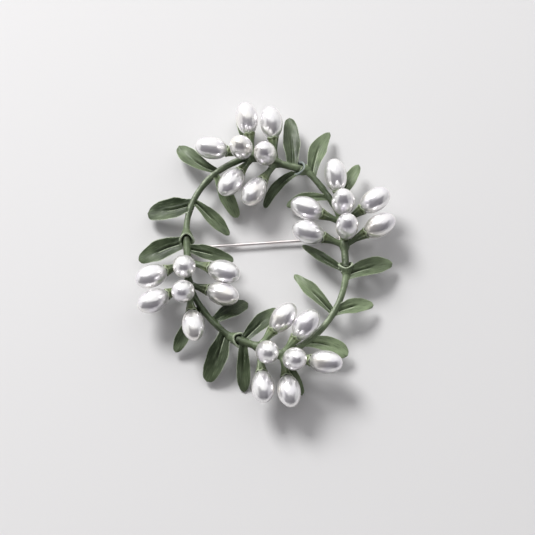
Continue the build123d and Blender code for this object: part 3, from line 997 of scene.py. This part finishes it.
def pearl_lustre():
    """A glossy white pearl skin with faint lavender and cream clouds."""
    material, tree, shader = new_material("pearl_lustre")
    cloud = tree.noise(420, 2.0)
    veil = tree.noise(190, 1.0)
    white, lavender, cream = srgb(252, 251, 250), srgb(240, 237, 242), srgb(250, 245, 233)
    colour = tree.mixed(tree.spread(cloud, 0.35, 0.7), white, lavender)
    colour = tree.mixed(tree.spread(veil, 0.5, 0.75, 0.0, 0.6), colour, cream)
    flow = {index: tree.attribute("flow_" + letter) for index, letter in enumerate("xyz")}
    lines = tree.noise(1.5, 3.0, 0.55, tree.add("CombineXYZ", 0, flow))
    relief = tree.math("MULTIPLY_ADD", lines, 1.6, cloud)
    inputs = {
        "Base Color": colour,
        "Metallic": 0.72,
        "Roughness": tree.spread(cloud, 0.3, 0.7, 0.2, 0.27),
        "Coat Weight": 0.15,
        "Coat Roughness": 0.12,
        "Sheen Weight": 0.35,
        "Sheen Roughness": 0.35,
        "Sheen Tint": srgb(255, 250, 236),
        "Normal": tree.bumped(relief, 0.00006, 0.6),
    }
    tree.fill(shader, inputs)
    return material


def pin_metal():
    """Drawn silvery wire: bright, with a faint warm tarnish."""
    material, tree, shader = new_material("pin_metal")
    stain = tree.noise(200, 2.0)
    silver, tarnish = srgb(244, 240, 240), srgb(222, 212, 209)
    inputs = {
        "Base Color": tree.mixed(tree.spread(stain, 0.4, 0.75), silver, tarnish),
        "Metallic": 1.0,
        "Roughness": tree.spread(stain, 0.3, 0.7, 0.32, 0.44),
    }
    tree.fill(shader, inputs)
    return material


# What the camera looks at, its elevation and its distance, the photograph's width in pixels
# and its scale in pixels to the millimetre, and the width of the camera's sensor.
AIM = Vector((0.25, -2.71, 5.0))
ELEVATION = np.radians(72)
DISTANCE = 350
PHOTO_WIDTH = 535
PHOTO_SCALE = 5.7
SENSOR_WIDTH = 36


def add_camera():
    """The camera, at the photograph's angle."""
    camera = bpy.data.objects.new("camera", bpy.data.cameras.new("camera"))
    bpy.context.scene.collection.objects.link(camera)
    back = Vector((0, -np.cos(ELEVATION), np.sin(ELEVATION)))
    camera.location = (AIM + back * DISTANCE) * MM
    camera.rotation_euler = (-back).to_track_quat("-Z", "Y").to_euler()
    camera.data.sensor_width = SENSOR_WIDTH
    camera.data.lens = SENSOR_WIDTH * PHOTO_SCALE * DISTANCE / PHOTO_WIDTH
    camera.data.clip_start = 0.01
    camera.data.clip_end = 10
    bpy.context.scene.camera = camera
    bpy.context.scene.view_settings.view_transform = "Standard"


def add_floor(half=1.5, drop=1e-5):
    """A plain pale floor just under the brooch, in metres."""
    mesh = bpy.data.meshes.new("floor")
    corners = [(-half, -half, -drop), (half, -half, -drop), (half, half, -drop), (-half, half, -drop)]
    mesh.from_pydata(corners, [], [(0, 1, 2, 3)])
    material, tree, shader = new_material("floor")
    pale = tree.mixed(tree.noise(3.0, 2.0), srgb(212, 211, 211), srgb(217, 216, 216))
    tree.fill(shader, {"Base Color": pale, "Roughness": 0.9})
    mesh.materials.append(material)
    floor = bpy.data.objects.new("floor", mesh)
    bpy.context.scene.collection.objects.link(floor)


def add_room():
    """A room bright on its far side, with a dark shape behind the camera."""
    world = bpy.data.worlds.new("studio")
    bpy.context.scene.world = world
    world.use_nodes = True
    tree = Tree(world.node_tree)
    direction = tree.add("TexCoord", "Generated", {})

    def facing(way):
        inputs = {0: direction, 1: way.tolist()}
        return tree.add("VectorMath", "Value", inputs, operation="DOT_PRODUCT")

    bright = tree.spread(facing(toward(106, 50)), -0.3, 0.8)
    room = tree.mixed(bright, (0.46, 0.46, 0.47), (1.06, 1.06, 1.06))
    shape = tree.spread(facing(toward(268, 49)), 0.1, 0.3)
    for way, low, high in ((toward(88, 41), 0.48, 0.64), (toward(358), 0.72, 0.9)):
        aside = tree.math("ABSOLUTE", facing(way))
        shape = tree.math("MULTIPLY", shape, tree.spread(aside, low, high, 1.0, 0.0))
    room = tree.mixed(shape, room, (0.072, 0.064, 0.084))
    tree.fill(tree.nodes["Background"], {"Color": room, "Strength": 0.9})


def add_key_light(distance=0.6, size=0.24, power=3.3):
    """A round soft light from the upper left, as in the photograph, in metres."""
    lamp = bpy.data.lights.new("key", "AREA")
    lamp.shape = "DISK"
    lamp.size = size
    lamp.energy = power
    light = bpy.data.objects.new("key", lamp)
    bpy.context.scene.collection.objects.link(light)
    way = Vector(toward(LIGHT_BEARING, 46))
    light.location = way * distance
    light.rotation_euler = (-way).to_track_quat("-Z", "Y").to_euler()


add_camera()
add_floor()
add_room()
add_key_light()

# The four castings
paint = leaf_paint()
for name in SPRIGS:
    place_piece(casting_mesh(name), "casting_" + name, paint, "brooch", "sprig_" + name)

# The pearls
lustre = pearl_lustre()
for name in SPRIGS:
    for pearl in PEARLS[name]:
        label = f"{name}_{pearl.number}"
        mesh = pearl_mesh(name, pearl)
        place_piece(mesh, "rice_pearl_" + label, lustre, "brooch", "pearl_" + label)

# The pin is shaped anew, and its hinge and catch keep their CAD shapes
metal = pin_metal()
place_piece(pin_mesh("pin_wire"), "pin_wire", metal, "pin", "pin_stem")
for node in ("pin_base", "pin_rivet", "pin_catch"):
    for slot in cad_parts[node].material_slots:
        slot.material = metal
